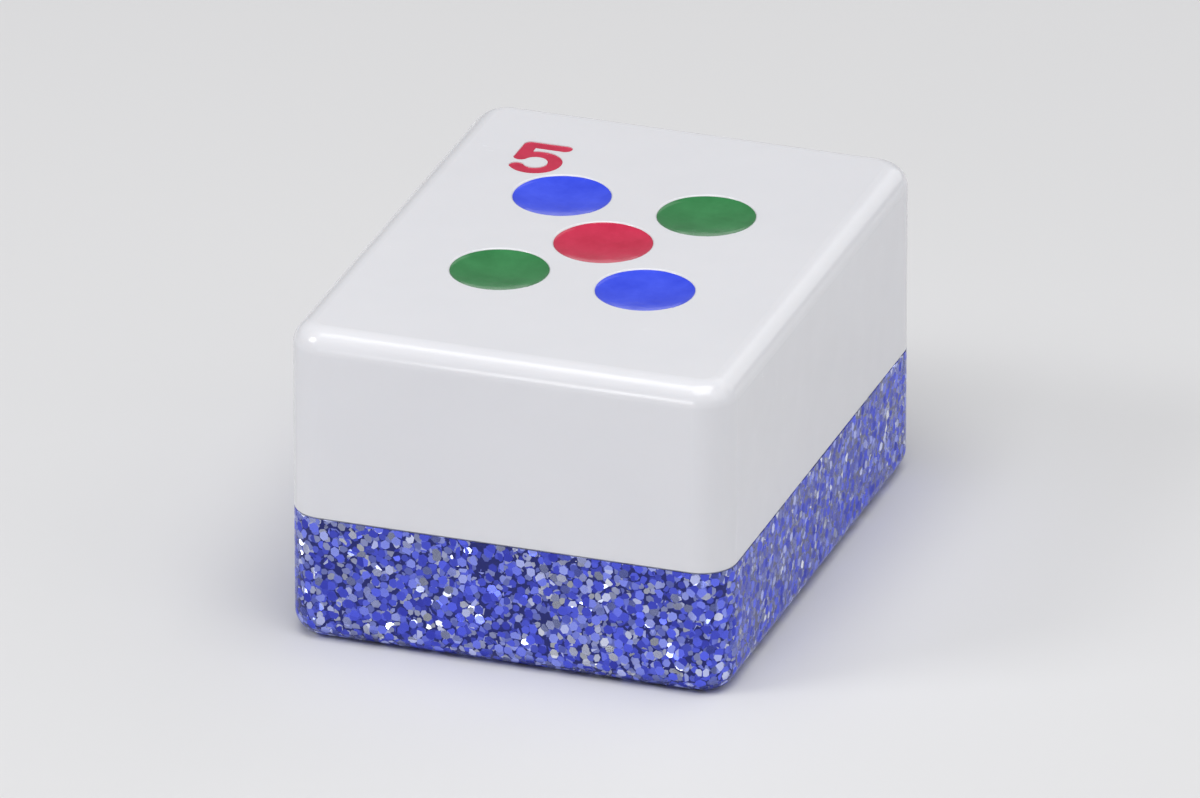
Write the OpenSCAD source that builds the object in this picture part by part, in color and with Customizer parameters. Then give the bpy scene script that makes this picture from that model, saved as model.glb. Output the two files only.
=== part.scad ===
// Two-tone mahjong tile, five of dots, lying on its back with its face up.
// A white face block is bonded to a blue glitter back. The dots and the corner
// numeral are pockets cut into the face and filled with paint.
// Millimetres. The origin is the centre of the back, +Z points out of the face
// and +Y points to the top of the design.

/* [Tile] */
// Width across the face
tile_w = 27.5; // [24:0.5:33]
// Length along the face
tile_l = 36; // [32:0.5:44]
// Thickness from the back to the face
tile_t = 20; // [16:0.5:26]
// Radius of the four upright corners
corner_r = 2.2; // [1.5:0.1:4]
// Radius that rounds the rims of the face and of the back
edge_r = 1.4; // [0.5:0.1:2]

/* [Layers] */
// Thickness of the glitter back
back_t = 8; // [5:0.5:12]
// Thickness of the clear bond between the blocks
bond_t = 0.1; // [0.05:0.05:0.5]
// How far the bond stays inside the sides of the blocks
bond_inset = 0.06; // [0.02:0.02:0.4]

/* [Dots] */
// Diameter of a dot
dot_d = 5.9; // [4:0.1:6.8]
// Distance between the corner dots across the face
dot_pitch_x = 9.1; // [8:0.1:12]
// Distance between the corner dots along the face
dot_pitch_y = 11.3; // [9:0.1:14]
// Depth of a dot's pocket below the face
dot_depth = 0.8; // [0.65:0.05:1.5]
// Radius that breaks the rim of a pocket
rim_r = 0.15; // [0.05:0.05:0.25]
// Depth of the hollow in a dot's paint
dish_depth = 0.25; // [0.1:0.05:0.5]
// Width of the flat ring of paint around the hollow
dish_land = 0.12; // [0.05:0.01:0.5]

/* [Numeral] */
// Height of the numeral
numeral_h = 4.5; // [4.3:0.1:5.5]
// Width of the numeral across its bowl
numeral_w = 3.3; // [2.6:0.1:3.5]
// Width of the engraved stroke
stroke_w = 0.9; // [0.5:0.05:1.1]
// Depth of the numeral's pocket below the face
numeral_depth = 0.6; // [0.4:0.05:1.2]
// How far the numeral's paint lies below the face
numeral_drop = 0.08; // [0.03:0.01:0.3]
// Gap between the numeral and the rim of the top left dot
numeral_gap = 0.34; // [0.2:0.02:1]
// Distance across the face from the top left dot's centre to the numeral's
numeral_shift = 3.1; // [1:0.1:4]

/* [Hidden] */
$fn = 96;

// Overrun of every cut past the surface that it opens
cut_over = 1;

// Heights of the bond and of the face block above the back
bond_z = back_t;
block_z = back_t + bond_t;
block_t = tile_t - block_z;

// Places of the five dots, as shares of half a pitch across and along
top_left_share = [-1, 1];
top_right_share = [1, 1];
centre_share = [0, 0];
bottom_left_share = [-1, -1];
bottom_right_share = [1, -1];
dot_shares = [top_left_share, top_right_share, centre_share, bottom_left_share, bottom_right_share];

// The paint of a dot starts where the broken rim ends, and is hollowed by a ball
paint_top = tile_t - rim_r;
dish_w = dot_d / 2 - dish_land;
dish_ball_r = (dish_w * dish_w + dish_depth * dish_depth) / (2 * dish_depth);

// The numeral's centre lines: half sizes, the bowl, and where stem and bowl meet
pen_x = (numeral_w - stroke_w) / 2;
pen_y = (numeral_h - stroke_w) / 2;
stem_share = 0.9;
bowl_r = pen_x;
bowl_y = bowl_r - pen_y;
stem_x = -stem_share * pen_x;
bowl_start = acos(stem_x / bowl_r);
bowl_end = -142;

// The numeral stands beside and above the top left dot, with its bowl clear of the dot's rim
bowl_reach = dot_d / 2 + rim_r + numeral_gap + bowl_r + stroke_w / 2;
bowl_rise = sqrt(bowl_reach * bowl_reach - numeral_shift * numeral_shift);
numeral_x = dot_at(top_left_share)[0] - numeral_shift;
numeral_y = dot_at(top_left_share)[1] + bowl_rise - bowl_y;

// The cutter dwells where a stroke ends, so the round end is a little wider than the stroke
dwell_share = 1.02;
dwell_d = dwell_share * stroke_w;

glitter_blue = [0.36, 0.39, 0.65];
bond_clear = [0.86, 0.88, 0.92, 0.6];
resin_white = [0.89, 0.89, 0.91];
paint_blue = [0.27, 0.36, 0.92];
paint_green = [0.27, 0.54, 0.34];
paint_red = [0.8, 0.24, 0.35];

// Centre of a dot on the plan of the face
function dot_at(share) = [share[0] * dot_pitch_x / 2, share[1] * dot_pitch_y / 2];

// Section across a block whose two upper edges are rounded
module block_section(span, height) {
    translate([-span / 2, 0]) square([span, height - edge_r]);
    translate([edge_r - span / 2, 0]) square([span - 2 * edge_r, height]);
    for (side = [-1, 1])
        translate([side * (span / 2 - edge_r), height - edge_r]) circle(edge_r);
}

// Section from the middle of an upright corner to its side, rounded in the same way
module corner_section(height) {
    square([corner_r, height - edge_r]);
    square([corner_r - edge_r, height]);
    intersection() {
        translate([corner_r - edge_r, height - edge_r]) circle(edge_r);
        translate([corner_r - edge_r, height - edge_r]) square(edge_r);
    }
}

// Block with the tile's outline and a rounded upper rim, standing on a sharp lower one
module rounded_block(height) {
    rotate([90, 0, 0])
        linear_extrude(tile_l - 2 * corner_r, center = true) block_section(tile_w, height);
    rotate([90, 0, 90])
        linear_extrude(tile_w - 2 * corner_r, center = true) block_section(tile_l, height);
    for (quarter = [0:3]) {
        x = (quarter == 0 || quarter == 3 ? 1 : -1) * (tile_w / 2 - corner_r);
        y = (quarter < 2 ? 1 : -1) * (tile_l / 2 - corner_r);
        translate([x, y, 0]) rotate([0, 0, 90 * quarter])
            rotate_extrude(angle = 90) corner_section(height);
    }
}

// The tile's outline, drawn in from its sides
module inset_plan(inset) {
    r = corner_r - inset;
    square([tile_w - 2 * corner_r, tile_l - 2 * inset], center = true);
    square([tile_w - 2 * inset, tile_l - 2 * corner_r], center = true);
    for (x = [-1, 1], y = [-1, 1])
        translate([x * (tile_w / 2 - corner_r), y * (tile_l / 2 - corner_r)]) circle(r);
}

// What a dot's cutter takes away, with a rounded rim at the face
module dot_cut(share) {
    wall = dot_d / 2;
    translate([dot_at(share)[0], dot_at(share)[1], 0]) rotate_extrude() {
        translate([0, tile_t - dot_depth]) square([wall, dot_depth + cut_over]);
        difference() {
            translate([wall, paint_top]) square([rim_r, rim_r + cut_over]);
            translate([wall + rim_r, paint_top]) circle(rim_r);
        }
    }
}

// The paint in a dot's pocket, drawn down into a shallow hollow as it dried
module dot_paint(share) {
    translate([dot_at(share)[0], dot_at(share)[1], 0]) difference() {
        translate([0, 0, tile_t - dot_depth]) cylinder(d = dot_d, h = paint_top - tile_t + dot_depth);
        translate([0, 0, paint_top - dish_depth + dish_ball_r]) sphere(dish_ball_r, $fn = 360);
    }
}

// One straight stroke of the pen between two points, with round ends
module straight_stroke(from, to, height) {
    run = to - from;
    translate([from[0], from[1], 0]) rotate([0, 0, atan2(run[1], run[0])]) {
        translate([0, -stroke_w / 2, 0]) cube([norm(run), stroke_w, height]);
        cylinder(d = dwell_d, h = height);
        translate([norm(run), 0, 0]) cylinder(d = dwell_d, h = height);
    }
}

// The round stroke of the pen, with a round end
module bowl_stroke(height) {
    translate([0, bowl_y, 0]) {
        rotate([0, 0, bowl_end]) rotate_extrude(angle = bowl_start - bowl_end)
            translate([bowl_r - stroke_w / 2, 0]) square([stroke_w, height]);
        rotate([0, 0, bowl_end]) translate([bowl_r, 0, 0]) cylinder(d = dwell_d, h = height);
    }
}

// The numeral five, standing on the floor of its pocket
module numeral_five(height) {
    top = pen_y;
    meet = [stem_x, bowl_y + bowl_r * sin(bowl_start)];
    translate([numeral_x, numeral_y, tile_t - numeral_depth]) {
        straight_stroke([stem_x, top], [stem_share * pen_x, top], height);
        straight_stroke([stem_x, top], meet, height);
        bowl_stroke(height);
    }
}

module back_block() {
    color(glitter_blue) translate([0, 0, back_t]) mirror([0, 0, 1]) rounded_block(back_t);
}

module bond_film() {
    color(bond_clear) translate([0, 0, bond_z]) linear_extrude(bond_t) inset_plan(bond_inset);
}

module face_block() {
    color(resin_white) difference() {
        translate([0, 0, block_z]) rounded_block(block_t);
        for (share = dot_shares) dot_cut(share);
        numeral_five(numeral_depth + cut_over);
    }
}

module dot_top_left() {
    color(paint_blue) dot_paint(top_left_share);
}

module dot_top_right() {
    color(paint_green) dot_paint(top_right_share);
}

module dot_centre() {
    color(paint_red) dot_paint(centre_share);
}

module dot_bottom_left() {
    color(paint_green) dot_paint(bottom_left_share);
}

module dot_bottom_right() {
    color(paint_blue) dot_paint(bottom_right_share);
}

module corner_numeral() {
    color(paint_red) numeral_five(numeral_depth - numeral_drop);
}

back_block();
bond_film();
face_block();
dot_top_left();
dot_top_right();
dot_centre();
dot_bottom_left();
dot_bottom_right();
corner_numeral();
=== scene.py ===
"""Looks for a two-tone mahjong tile, the five of dots, lying face up.

The blocks and the bond keep their solids and get their finishes here: white resin,
blue glitter acrylic and a clear bond. The paint fills are modelled again as enamel
that dried with a hollow middle and crept up the walls of its pockets.
"""

import itertools
import math
import random

import bmesh
import bpy
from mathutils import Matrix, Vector


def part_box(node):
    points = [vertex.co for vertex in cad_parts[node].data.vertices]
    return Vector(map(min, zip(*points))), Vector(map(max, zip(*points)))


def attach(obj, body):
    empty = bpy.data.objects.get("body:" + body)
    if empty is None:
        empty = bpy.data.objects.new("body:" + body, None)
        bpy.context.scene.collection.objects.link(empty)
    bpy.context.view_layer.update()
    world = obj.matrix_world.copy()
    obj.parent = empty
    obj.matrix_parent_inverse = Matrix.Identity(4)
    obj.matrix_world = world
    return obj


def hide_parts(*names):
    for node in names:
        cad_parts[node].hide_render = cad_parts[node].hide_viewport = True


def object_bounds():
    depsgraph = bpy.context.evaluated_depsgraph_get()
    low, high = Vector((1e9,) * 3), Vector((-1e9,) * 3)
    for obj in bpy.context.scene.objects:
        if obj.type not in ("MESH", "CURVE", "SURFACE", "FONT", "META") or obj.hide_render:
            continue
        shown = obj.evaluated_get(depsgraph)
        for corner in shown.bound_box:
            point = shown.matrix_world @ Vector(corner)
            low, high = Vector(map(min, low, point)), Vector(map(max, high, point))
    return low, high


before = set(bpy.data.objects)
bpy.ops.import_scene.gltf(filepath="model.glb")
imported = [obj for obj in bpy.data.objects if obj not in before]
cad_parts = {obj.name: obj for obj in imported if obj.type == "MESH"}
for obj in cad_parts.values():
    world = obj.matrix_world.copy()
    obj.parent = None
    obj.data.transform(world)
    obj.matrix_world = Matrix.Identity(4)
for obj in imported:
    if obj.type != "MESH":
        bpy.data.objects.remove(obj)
cad_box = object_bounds()

# Units and the photograph's frame
MM = 0.001
IMAGE_W = 1200
IMAGE_H = 798

# View of the tile in the photograph, in degrees and metres, and the share of the frame that it fills
VIEW_AZIMUTH = 19.0
VIEW_ELEVATION = 24.7
VIEW_DISTANCE = 1.13
TILE_FILL_SHARE = 0.76

# Camera: the width of its sensor in millimetres, and how far its depths go each way from the view's distance
SENSOR_W = 36.0
CLIP_RATIO = 10

# Even light from all round
FILL_COLOUR = (1, 1, 1, 1)
FILL_LEVEL = 0.2

# Soft lamps: azimuth and elevation in degrees, distance and size in metres, level
LAMPS = {
    "overhead": (20, 74, 0.6, 0.5, 0.72),
    "key": (-52, 40, 0.55, 0.17, 0.23),
    "front": (-12, 9, 0.6, 0.12, 0.06),
    "side": (84, 30, 0.6, 0.5, 0.15),
    "rim": (150, 32, 0.6, 0.5, 0.16),
    "back": (-161, 9, 0.6, 0.1, 0.004),
}

# Pale floor: its size in metres, its tints, and its patches per millimetre
FLOOR_SIZE = 6.0
FLOOR_TINTS = [(0.72, 0.72, 0.73, 1), (0.76, 0.76, 0.77, 1)]
FLOOR_PATCHES = 0.004

# Joins between the faces of a solid, and the angle past which an edge stays sharp
WELD_REACH = 0.0005 * MM
SHARP_ANGLE = math.radians(35)

# Enamel in a dot: its clearance, its hollow, and how it creeps up the wall
PAINT_GAP = 0.004 * MM
DISH_DEPTH = 0.24 * MM
CREEP = 0.07 * MM
CREEP_SPREAD = 0.02 * MM
CREEP_REACH = 0.16 * MM
CREEP_WAVES = 4
SLOWEST_WAVE = 2
DOT_SIDES = 96
DOT_RINGS = 24

# Enamel in the numeral: its creep up the wall, then steps inwards and down from there
NUMERAL_CREEP = 0.02 * MM
NUMERAL_STEPS = [
    (0.05 * MM, 0.012 * MM),
    (0.1 * MM, 0.008 * MM),
]

# Noise: the range that it seldom leaves, and its middle
NOISE_SPAN = (0.3, 0.7)
NOISE_MIDDLE = 0.5

# Places of the two inputs and the output of a node that mixes colours or vectors
MIX_PLACES = {
    "RGBA": (6, 7, 2),
    "VECTOR": (4, 5, 1),
}

# White resin: its tints, its gloss, and its clouds, gloss patches and waves per millimetre
RESIN_TINTS = [(0.77, 0.773, 0.815, 1), (0.815, 0.817, 0.855, 1)]
RESIN_ROUGHNESS = (0.17, 0.23)
RESIN_CLOUDS = 0.12
RESIN_PATCHES = 0.5
RESIN_WAVES = 0.3
RESIN_WAVE_DEPTH = 0.02 * MM

# Polishing hairlines: how the noise for them is drawn out, how fine they are, and what they add to roughness
HAIRLINE_STRETCH = (0.08, 2.2, 0.6)
HAIRLINE_WIDTH = 0.012
HAIRLINE_ROUGHNESS = 0.05

# Beds of flakes, deepest first: size in millimetres, share filled, share dimmed, metallic share, shift
FLAKE_BEDS = [
    (0.52, 1.0, 0.25, 0.4, (3.0, 11.0, 7.0)),
    (0.6, 1.0, 0.1, 0.6, (31.0, 17.0, 5.0)),
    (0.68, 0.75, 0.0, 0.85, (0.0, 0.0, 0.0)),
]

# Patches per millimetre where flakes lie closer or wider, and the shares of a bed that they keep
CROWD_PATCHES = 0.3
CROWD_NOISE = (0.35, 0.65)
CROWD_SHARES = (0.8, 1.0)

# A flake: its radius as a share of its size, its steepest lean, and the turn from one side to the next
FLAKE_RADIUS_SHARE = 0.42
FLAKE_LEAN = 1.1
FLAKE_TURN = math.radians(60)

# Gloss of the flakes, and its patches per millimetre
FLAKE_ROUGHNESS = (0.1, 0.2)
FLAKE_PATCHES = 3.0

# Colours of the flakes, from the most common to the rarest, partly their own and partly painted reflection:
# the dark stops paint flakes that face dim surroundings, the pale stops paint flakes that catch a lamp
FLAKE_COLOURS_AND_GLINTS = [
    (0.0, (0.035, 0.045, 0.46, 1)),
    (0.35, (0.11, 0.145, 0.92, 1)),
    (0.6, (0.32, 0.38, 0.96, 1)),
    (0.8, (0.66, 0.71, 1.0, 1)),
    (0.93, (0.9, 0.93, 1.0, 1)),
]

# Colours of the resin between the flakes, of a flake seen at a slant, and halfway along every channel
DEEP_BLUE = (0.008, 0.012, 0.14, 1)
FLAKE_EDGE = (0.35, 0.4, 1.0, 1)
MIDDLE_GREY = (0.5, 0.5, 0.5)

# Clear bond: its tints, and its clouds per millimetre
BOND_TINTS = [(0.5, 0.52, 0.62, 1), (0.68, 0.7, 0.78, 1)]
BOND_CLOUDS = 1.5

# Enamels: their tints where they dried thinner and thicker
BLUE_TINTS = [(0.055, 0.1, 0.9, 1), (0.03, 0.065, 0.78, 1)]
GREEN_TINTS = [(0.042, 0.25, 0.08, 1), (0.026, 0.19, 0.055, 1)]
RED_TINTS = [(0.66, 0.03, 0.09, 1), (0.54, 0.016, 0.06, 1)]

# Enamels: their gloss, and their mottles, gloss patches and ripples per millimetre
ENAMEL_ROUGHNESS = (0.12, 0.22)
ENAMEL_MOTTLES = 0.55
ENAMEL_PATCHES = 2.5
ENAMEL_RIPPLES = 1.1
ENAMEL_RIPPLE_DEPTH = 0.025 * MM


class Graph:
    """A material's node tree, with short calls that add a node and wire its inputs."""

    def __init__(self, name):
        self.material = bpy.data.materials.new(name)
        self.material.use_nodes = True
        self.tree = self.material.node_tree
        self.shader = self.tree.nodes["Principled BSDF"]

    def wire(self, node, inputs):
        """Set each input to a plain value, or link it where the value is a socket."""
        for key, value in inputs.items():
            if isinstance(value, bpy.types.NodeSocket):
                self.tree.links.new(value, node.inputs[key])
            else:
                node.inputs[key].default_value = value

    def add(self, kind, inputs, **settings):
        """A new node with these settings and inputs."""
        node = self.tree.nodes.new("ShaderNode" + kind)
        for key, value in settings.items():
            setattr(node, key, value)
        self.wire(node, inputs)
        return node

    def finish(self, **inputs):
        """Wire the Principled shader; an input's name has underscores for its spaces."""
        self.wire(self.shader, {key.replace("_", " "): value for key, value in inputs.items()})
        return self.material

    def place(self):
        """The point on the tile, in millimetres."""
        coords = self.add("TexCoord", {}).outputs["Object"]
        return self.vector("SCALE", coords, Scale=1 / MM)

    def math(self, operation, *values):
        """One arithmetic step."""
        inputs = dict(enumerate(values))
        return self.add("Math", inputs, operation=operation).outputs[0]

    def vector(self, operation, *values, **named):
        """One step of vector arithmetic."""
        inputs = {**dict(enumerate(values)), **named}
        return self.add("VectorMath", inputs, operation=operation).outputs[0]

    def reach(self, offset, direction):
        """How far an offset goes along a direction, either way."""
        product = self.add("VectorMath", {0: offset, 1: direction}, operation="DOT_PRODUCT")
        return self.math("ABSOLUTE", product.outputs["Value"])

    def noise(self, at, scale, detail=3.0, roughness=0.5):
        """Smooth noise from 0 to 1, at a scale in features per millimetre."""
        inputs = {"Vector": at, "Scale": scale, "Detail": detail, "Roughness": roughness}
        return self.add("TexNoise", inputs).outputs[0]

    def span(self, value, source, target):
        """Map a range of values onto another, held at its ends."""
        inputs = dict(enumerate((value, *source, *target)))
        return self.add("MapRange", inputs).outputs[0]

    def blend(self, share, first, second, kind="RGBA"):
        """A colour or a vector between two, by a share from 0 to 1."""
        first_place, second_place, result_place = MIX_PLACES[kind]
        inputs = {0: share, first_place: first, second_place: second}
        return self.add("Mix", inputs, data_type=kind).outputs[result_place]

    def ramp(self, value, stops):
        """A colour picked along a list of stops, each a position and a colour."""
        node = self.add("ValToRGB", {0: value})
        elements = node.color_ramp.elements
        for stop in stops[1:-1]:
            elements.new(stop[0])
        for element, (position, colour) in zip(elements, stops):
            element.position = position
            element.color = colour
        return node.outputs["Color"]

    def bump(self, height, depth):
        """The surface's normal where it rises by depth, in metres, as height goes from 0 to 1."""
        return self.add("Bump", {"Height": height, "Distance": depth, "Strength": 1.0}).outputs[0]


def white_resin():
    """Polished white resin: faint clouding, and polishing hairlines that only its gloss shows."""
    graph = Graph("white_resin")
    at = graph.place()
    tint = graph.blend(graph.noise(at, RESIN_CLOUDS, detail=4.0), *RESIN_TINTS)
    drawn = graph.noise(graph.vector("MULTIPLY", at, HAIRLINE_STRETCH), scale=1.0, detail=4.0)
    off_middle = graph.math("ABSOLUTE", graph.math("SUBTRACT", drawn, NOISE_MIDDLE))
    hairline = graph.span(off_middle, (0, HAIRLINE_WIDTH), (1, 0))
    patch = graph.span(graph.noise(at, RESIN_PATCHES), NOISE_SPAN, RESIN_ROUGHNESS)
    gloss = graph.math("MULTIPLY_ADD", hairline, HAIRLINE_ROUGHNESS, patch)
    wave = graph.bump(graph.noise(at, RESIN_WAVES, detail=1.0), RESIN_WAVE_DEPTH)
    return graph.finish(
        Base_Color=tint, Roughness=gloss, Normal=wave, IOR=1.5,
        Subsurface_Weight=0.15, Subsurface_Radius=(1.0, 0.9, 0.85), Subsurface_Scale=0.7 * MM,
        Coat_Weight=0.35, Coat_Roughness=0.06,
    )


def flakes(graph, at, normal, size, shift):
    """One bed of six-sided flakes: a flake's lean, its chance number, and how far out on it a point is."""
    spot = graph.vector("ADD", at, shift)
    cells = graph.add("TexVoronoi", {"Vector": spot, "Scale": 1 / size}).outputs
    dice = graph.add("TexWhiteNoise", {"Vector": cells["Position"]}).outputs
    heading = graph.vector("SUBTRACT", cells["Color"], MIDDLE_GREY)
    along = graph.vector("NORMALIZE", graph.vector("CROSS_PRODUCT", normal, heading))
    across = graph.vector("CROSS_PRODUCT", normal, along)
    lean_share = graph.add("SeparateColor", {0: dice["Color"]}).outputs[0]
    steep = graph.math("MULTIPLY", lean_share, FLAKE_LEAN)
    squash = graph.math("SQRT", graph.math("MULTIPLY_ADD", steep, steep, 1.0))
    offset = graph.vector("SUBTRACT", spot, cells["Position"])
    x = graph.math("MULTIPLY", graph.reach(offset, along), squash)
    y = graph.reach(offset, across)
    x_part = graph.math("MULTIPLY", x, math.cos(FLAKE_TURN))
    slanted = graph.math("MULTIPLY_ADD", y, math.sin(FLAKE_TURN), x_part)
    return graph.vector("SCALE", along, Scale=steep), dice["Value"], graph.math("MAXIMUM", x, slanted)


def glitter_acrylic():
    """Blue acrylic packed with glitter: beds of tilted metal flakes under a clear gloss, their colours
    partly painted glints.
    """
    graph = Graph("glitter_acrylic")
    at = graph.place()
    normal = graph.add("NewGeometry", {}).outputs["Normal"]
    crowd = graph.span(graph.noise(at, CROWD_PATCHES), CROWD_NOISE, CROWD_SHARES)
    colour = DEEP_BLUE
    lean = (0.0, 0.0, 0.0)
    metal = 0.0
    for size, fill_share, dim_share, metal_share, shift in FLAKE_BEDS:
        bed_lean, chance, reach = flakes(graph, at, normal, size, shift)
        filled = graph.math("LESS_THAN", chance, graph.math("MULTIPLY", crowd, fill_share))
        inside = graph.math("LESS_THAN", reach, size * FLAKE_RADIUS_SHARE)
        here = graph.math("MULTIPLY", filled, inside)
        # Each flake's colour is partly painted reflection: its brightness stands in for the light it would
        # catch
        tone_and_glint = graph.ramp(graph.math("DIVIDE", chance, fill_share), FLAKE_COLOURS_AND_GLINTS)
        colour = graph.blend(here, colour, graph.blend(dim_share, tone_and_glint, DEEP_BLUE))
        lean = graph.blend(here, lean, bed_lean, kind="VECTOR")
        metal = graph.math("MAXIMUM", metal, graph.math("MULTIPLY", here, metal_share))
    return graph.finish(
        Base_Color=colour, Metallic=metal, IOR=1.49, Specular_Tint=FLAKE_EDGE,
        Normal=graph.vector("NORMALIZE", graph.vector("ADD", normal, lean)),
        Roughness=graph.span(graph.noise(at, FLAKE_PATCHES), NOISE_SPAN, FLAKE_ROUGHNESS),
        Coat_Weight=0.4, Coat_Roughness=0.03, Coat_IOR=1.45,
    )


def clear_bond():
    """Cured clear adhesive, a little cloudy."""
    graph = Graph("clear_bond")
    tint = graph.blend(graph.noise(graph.place(), BOND_CLOUDS), *BOND_TINTS)
    return graph.finish(Base_Color=tint, Roughness=0.2, Transmission_Weight=0.4, IOR=1.48)


def enamel(name, tints):
    """Gloss enamel: mottled where it dried thinner or thicker, with a slight ripple."""
    graph = Graph(name)
    at = graph.place()
    mottle = graph.span(graph.noise(at, ENAMEL_MOTTLES, detail=4.0, roughness=0.6), NOISE_SPAN, (0, 1))
    ripple = graph.bump(graph.noise(at, ENAMEL_RIPPLES, detail=2.0), ENAMEL_RIPPLE_DEPTH)
    gloss = graph.span(graph.noise(at, ENAMEL_PATCHES), NOISE_SPAN, ENAMEL_ROUGHNESS)
    return graph.finish(
        Base_Color=graph.blend(mottle, *tints), Roughness=gloss, Normal=ripple, IOR=1.5,
        Coat_Weight=0.3, Coat_Roughness=0.06,
    )


def dress(node, material):
    """Give a CAD node its finish and even out the normals where its faces meet smoothly."""
    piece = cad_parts[node]
    for slot in piece.material_slots:
        slot.material = material
    weld = piece.modifiers.new("weld", "WELD")
    weld.merge_threshold = WELD_REACH
    split = piece.modifiers.new("sharp edges", "EDGE_SPLIT")
    split.split_angle = SHARP_ANGLE
    even = piece.modifiers.new("even normals", "WEIGHTED_NORMAL")
    even.keep_sharp = True


def paint_piece(shape, node, material):
    """Turn a finished enamel shape into a piece that stands for its CAD node."""
    bmesh.ops.recalc_face_normals(shape, faces=shape.faces)
    mesh = bpy.data.meshes.new("enamel_" + node)
    shape.to_mesh(mesh)
    shape.free()
    mesh.shade_smooth()
    mesh.set_sharp_from_angle(angle=SHARP_ANGLE)
    mesh.materials.append(material)
    piece = bpy.data.objects.new("enamel_" + node, mesh)
    bpy.context.collection.objects.link(piece)
    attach(piece, "root")
    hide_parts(node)


def dot_column(angle, phases, wall, rim, low, high):
    """Radius and height of a dot's points at one angle, from its foot up the wall and in to the middle."""
    waves = [math.sin(count * angle + phase) for count, phase in enumerate(phases, SLOWEST_WAVE)]
    creep = CREEP + CREEP_SPREAD * sum(waves) / len(waves)
    points = [(wall, low), (wall, high)]
    for climb in (creep / 2, creep):
        points.append((wall + rim - math.sqrt(rim ** 2 - climb ** 2), high + climb))
    edge = points[-1][0]
    for ring in range(1, DOT_RINGS):
        radius = edge * (1 - (ring / DOT_RINGS) ** 2)
        hollow = DISH_DEPTH * (1 - (radius / edge) ** 2)
        points.append((radius, high - hollow + creep * math.exp((radius - edge) / CREEP_REACH)))
    return points


def enamel_dot(node, material):
    """The enamel in a dot's pocket: hollow, and drawn unevenly up its wall onto the rounded rim."""
    low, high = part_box(node)
    wall = (high.x - low.x) / 2 - PAINT_GAP
    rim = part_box("face_block")[1].z - high.z
    middle = (low + high) / 2
    dice = random.Random(node)
    phases = [dice.uniform(0, 2 * math.pi) for wave in range(CREEP_WAVES)]
    shape = bmesh.new()
    columns = []
    for side in range(DOT_SIDES):
        angle = 2 * math.pi * side / DOT_SIDES
        points = dot_column(angle, phases, wall, rim, low.z + PAINT_GAP, high.z)
        out = Vector((math.cos(angle), math.sin(angle), 0))
        at = [Vector((middle.x, middle.y, height)) + out * radius for radius, height in points]
        columns.append([shape.verts.new(point) for point in at])
    foot = shape.verts.new((middle.x, middle.y, low.z + PAINT_GAP))
    crown = shape.verts.new((middle.x, middle.y, high.z - DISH_DEPTH))
    for side, column in enumerate(columns):
        beside = columns[(side + 1) % DOT_SIDES]
        shape.faces.new((foot, beside[0], column[0]))
        shape.faces.new((crown, column[-1], beside[-1]))
        for ring in range(len(column) - 1):
            shape.faces.new((column[ring], beside[ring], beside[ring + 1], column[ring + 1]))
    paint_piece(shape, node, material)


def enamel_numeral(node, material):
    """The enamel in the numeral's pocket, drawn up its walls and hollow between them."""
    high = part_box(node)[1]
    shape = bmesh.new()
    shape.from_mesh(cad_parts[node].data)
    bmesh.ops.remove_doubles(shape, verts=shape.verts, dist=WELD_REACH)
    upper = [face for face in shape.faces if face.calc_center_median().z > high.z - WELD_REACH]
    top = bmesh.ops.dissolve_faces(shape, faces=upper)["region"][0]
    for vert in top.verts:
        vert.co.z += NUMERAL_CREEP
    for inwards, down in NUMERAL_STEPS:
        bmesh.ops.inset_region(shape, faces=[top], thickness=inwards, depth=-down, use_even_offset=True)
    bmesh.ops.triangulate(shape, faces=[top])
    paint_piece(shape, node, material)


def make_floor():
    """Pale floor that takes the tile's shadow."""
    graph = Graph("floor")
    tint = graph.blend(graph.noise(graph.place(), FLOOR_PATCHES), *FLOOR_TINTS)
    material = graph.finish(Base_Color=tint, Roughness=0.7, Specular_IOR_Level=0.2)
    bpy.ops.mesh.primitive_plane_add(size=FLOOR_SIZE)
    floor = bpy.context.object
    floor.name = "floor"
    floor.data.materials.append(material)


def away(azimuth, elevation):
    """The direction out from the tile, by degrees round from its front and up from the floor."""
    turn = math.radians(azimuth)
    rise = math.radians(elevation)
    return Vector((math.sin(turn) * math.cos(rise), -math.cos(turn) * math.cos(rise), math.sin(rise)))


def soft_box(name, azimuth, elevation, distance, size, level):
    """A square lamp aimed at the tile; at level 1 a face square to it is as bright as its colour."""
    out = away(azimuth, elevation)
    lamp = bpy.data.lights.new(name, "AREA")
    lamp.shape = "SQUARE"
    lamp.size = size
    lamp.energy = level * (math.pi * distance) ** 2
    holder = bpy.data.objects.new(name, lamp)
    holder.location = out * distance
    holder.rotation_euler = out.to_track_quat("Z", "Y").to_euler()
    bpy.context.collection.objects.link(holder)


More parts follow.
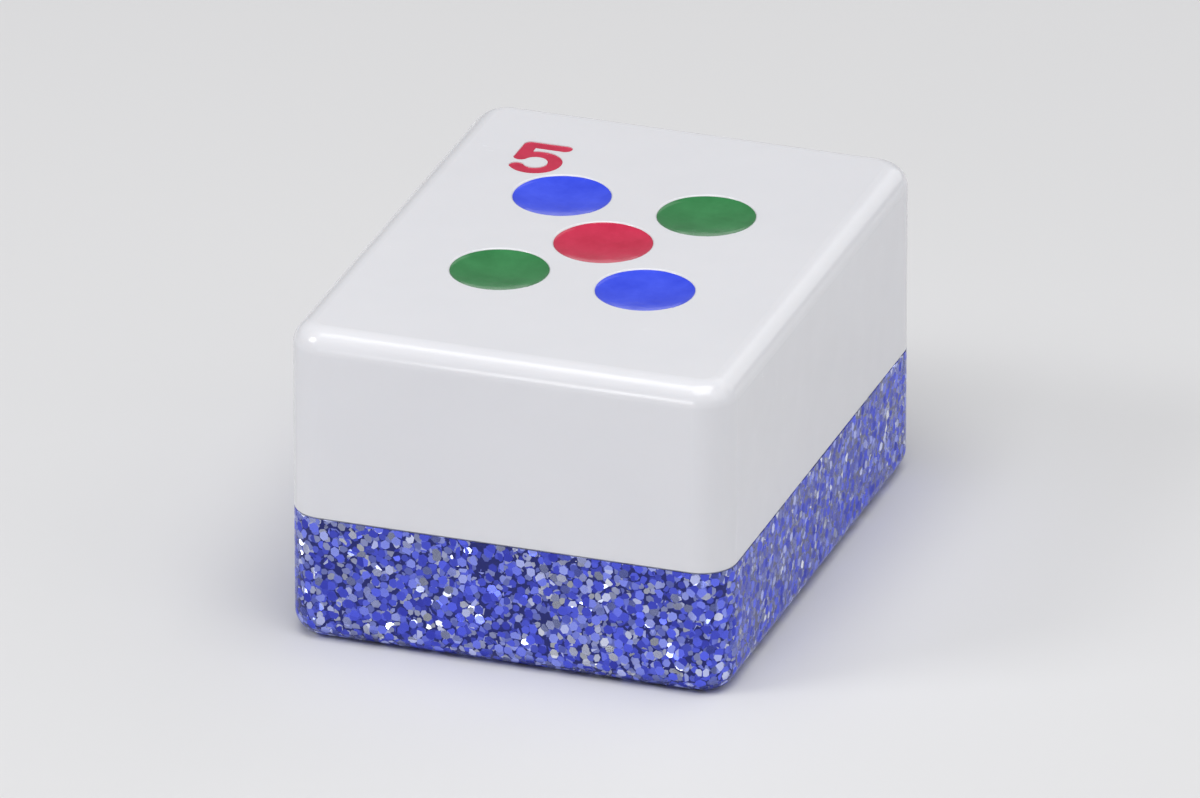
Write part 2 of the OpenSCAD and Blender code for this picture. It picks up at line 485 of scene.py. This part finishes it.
def make_world():
    """Even fill light from all round."""
    world = bpy.data.worlds.new("fill")
    world.use_nodes = True
    background = world.node_tree.nodes["Background"]
    background.inputs["Color"].default_value = FILL_COLOUR
    background.inputs["Strength"].default_value = FILL_LEVEL
    bpy.context.scene.world = world


def make_camera():
    """Camera at the photograph's angle and distance, with the tile centred and filling its share."""
    back = away(VIEW_AZIMUTH, VIEW_ELEVATION)
    right = Vector((0, 0, 1)).cross(back).normalized()
    up = back.cross(right)
    low, high = cad_box
    eye = (low + high) / 2 + back * VIEW_DISTANCE
    corners = [Vector(corner) - eye for corner in itertools.product(*zip(low, high))]
    across = [corner.dot(right) / -corner.dot(back) for corner in corners]
    upward = [corner.dot(up) / -corner.dot(back) for corner in corners]
    eye += right * (max(across) + min(across)) / 2 * VIEW_DISTANCE
    eye += up * (max(upward) + min(upward)) / 2 * VIEW_DISTANCE
    half_h = (max(upward) - min(upward)) / 2 / TILE_FILL_SHARE
    camera = bpy.data.cameras.new("camera")
    camera.sensor_width = SENSOR_W
    camera.lens = SENSOR_W / 2 / (half_h * IMAGE_W / IMAGE_H)
    camera.clip_start = VIEW_DISTANCE / CLIP_RATIO
    camera.clip_end = VIEW_DISTANCE * CLIP_RATIO
    holder = bpy.data.objects.new("camera", camera)
    holder.location = eye
    holder.rotation_euler = back.to_track_quat("Z", "Y").to_euler()
    bpy.context.collection.objects.link(holder)
    bpy.context.scene.camera = holder


make_camera()
make_floor()
make_world()
for lamp_name, lamp_values in LAMPS.items():
    soft_box(lamp_name, *lamp_values)

dress("face_block", white_resin())
dress("back_block", glitter_acrylic())
dress("bond_film", clear_bond())

blue = enamel("blue_enamel", BLUE_TINTS)
green = enamel("green_enamel", GREEN_TINTS)
red = enamel("red_enamel", RED_TINTS)
enamel_dot("dot_top_left", blue)
enamel_dot("dot_bottom_right", blue)
enamel_dot("dot_top_right", green)
enamel_dot("dot_bottom_left", green)
enamel_dot("dot_centre", red)
enamel_numeral("corner_numeral", red)

bpy.context.scene.view_settings.view_transform = "Standard"
